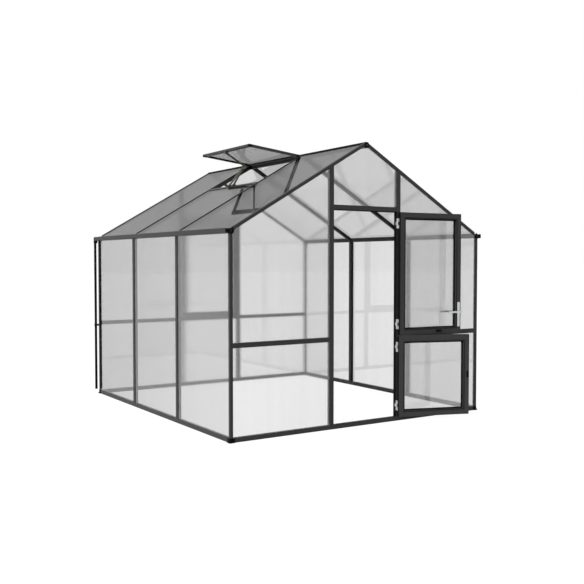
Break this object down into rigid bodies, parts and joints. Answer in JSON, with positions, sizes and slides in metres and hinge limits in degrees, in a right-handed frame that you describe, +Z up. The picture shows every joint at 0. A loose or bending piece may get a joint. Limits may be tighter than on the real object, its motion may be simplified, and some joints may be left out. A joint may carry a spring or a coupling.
{
  "type": "garden greenhouse",
  "caption": "Free-standing gabled greenhouse with an extruded metal frame, hazy glazing sheets, eaves gutters, an open roof vent and a two-leaf stable door.",
  "frame": {"origin": "middle of the front sill's underside, under the doorway", "axes": "+X to the right seen from the front, +Y from the front gable to the rear, +Z up"},
  "size_m": [2.552, 3.0189, 2.3196],
  "materials": {
    "anthracite_frame": "satin anthracite powder coat",
    "black_plastic": "matt moulded",
    "glazing_sheet": "clear hazy twin-wall sheet with fine upright ribs",
    "satin_chrome": "satin",
    "opener_metal": "olive grey",
    "rubber_seal": "matt"
  },
  "bodies": {
    "frame": {"base_sills": "anthracite_frame", "base_corner_blocks": "black_plastic", "corner_posts": "anthracite_frame", "side_wall_posts": "anthracite_frame", "left_eaves_gutter": "anthracite_frame", "right_eaves_gutter": "anthracite_frame", "gutter_end_caps": "black_plastic", "gutter_outlets": "black_plastic", "downpipes": "black_plastic", "downpipe_clips": "black_plastic", "door_jambs": "anthracite_frame", "rear_wall_posts": "anthracite_frame", "door_header": "anthracite_frame", "rear_header": "anthracite_frame", "front_mid_rails": "anthracite_frame", "rear_mid_rails": "anthracite_frame", "gable_rafters": "anthracite_frame", "roof_bars": "anthracite_frame", "ridge_bar": "anthracite_frame", "ridge_end_caps": "black_plastic", "vent_trimmer": "anthracite_frame", "door_threshold": "rubber_seal", "front_wall_panes": "glazing_sheet", "over_door_pane": "glazing_sheet", "rear_wall_panes": "glazing_sheet", "left_wall_panes": "glazing_sheet", "right_wall_panes": "glazing_sheet", "left_roof_panes": "glazing_sheet", "right_roof_panes": "glazing_sheet", "vent_stiles": "anthracite_frame", "vent_rails": "anthracite_frame", "vent_pane": "glazing_sheet", "vent_opener_arms": "opener_metal", "vent_opener_brackets": "opener_metal", "rear_window_stiles": "anthracite_frame", "rear_window_rails": "anthracite_frame", "rear_window_pane": "glazing_sheet", "jamb_hinges": "satin_chrome"},
    "upper_leaf": {"upper_leaf_stiles": "anthracite_frame", "upper_leaf_rails": "anthracite_frame", "upper_leaf_pane": "glazing_sheet", "upper_leaf_hinges": "satin_chrome", "handle_plates": "satin_chrome", "upper_leaf_catch": "black_plastic"},
    "lower_leaf": {"lower_leaf_stiles": "anthracite_frame", "lower_leaf_rails": "anthracite_frame", "lower_leaf_pane": "glazing_sheet", "lower_leaf_hinges": "satin_chrome", "lower_leaf_catch": "black_plastic"},
    "lever": {"door_lever": "satin_chrome"}
  },
  "joints": [
    {"name": "upper_leaf_hinge", "type": "hinge", "parent": "frame", "child": "upper_leaf", "pos_m": [0.315, -0.026, 1.21], "axis": [0, 0, 1], "range_deg": [-175, 0]},
    {"name": "lower_leaf_hinge", "type": "hinge", "parent": "frame", "child": "lower_leaf", "pos_m": [0.315, -0.026, 0.37], "axis": [0, 0, 1], "range_deg": [-161, 12]},
    {"name": "lever_turn", "type": "hinge", "parent": "upper_leaf", "child": "lever", "pos_m": [0.91244, -0.10437, 0.889], "axis": [-0.0872, -0.9962, 0], "range_deg": [0, 45], "stiffness_Nm_per_rad": 0.6}
  ]
}
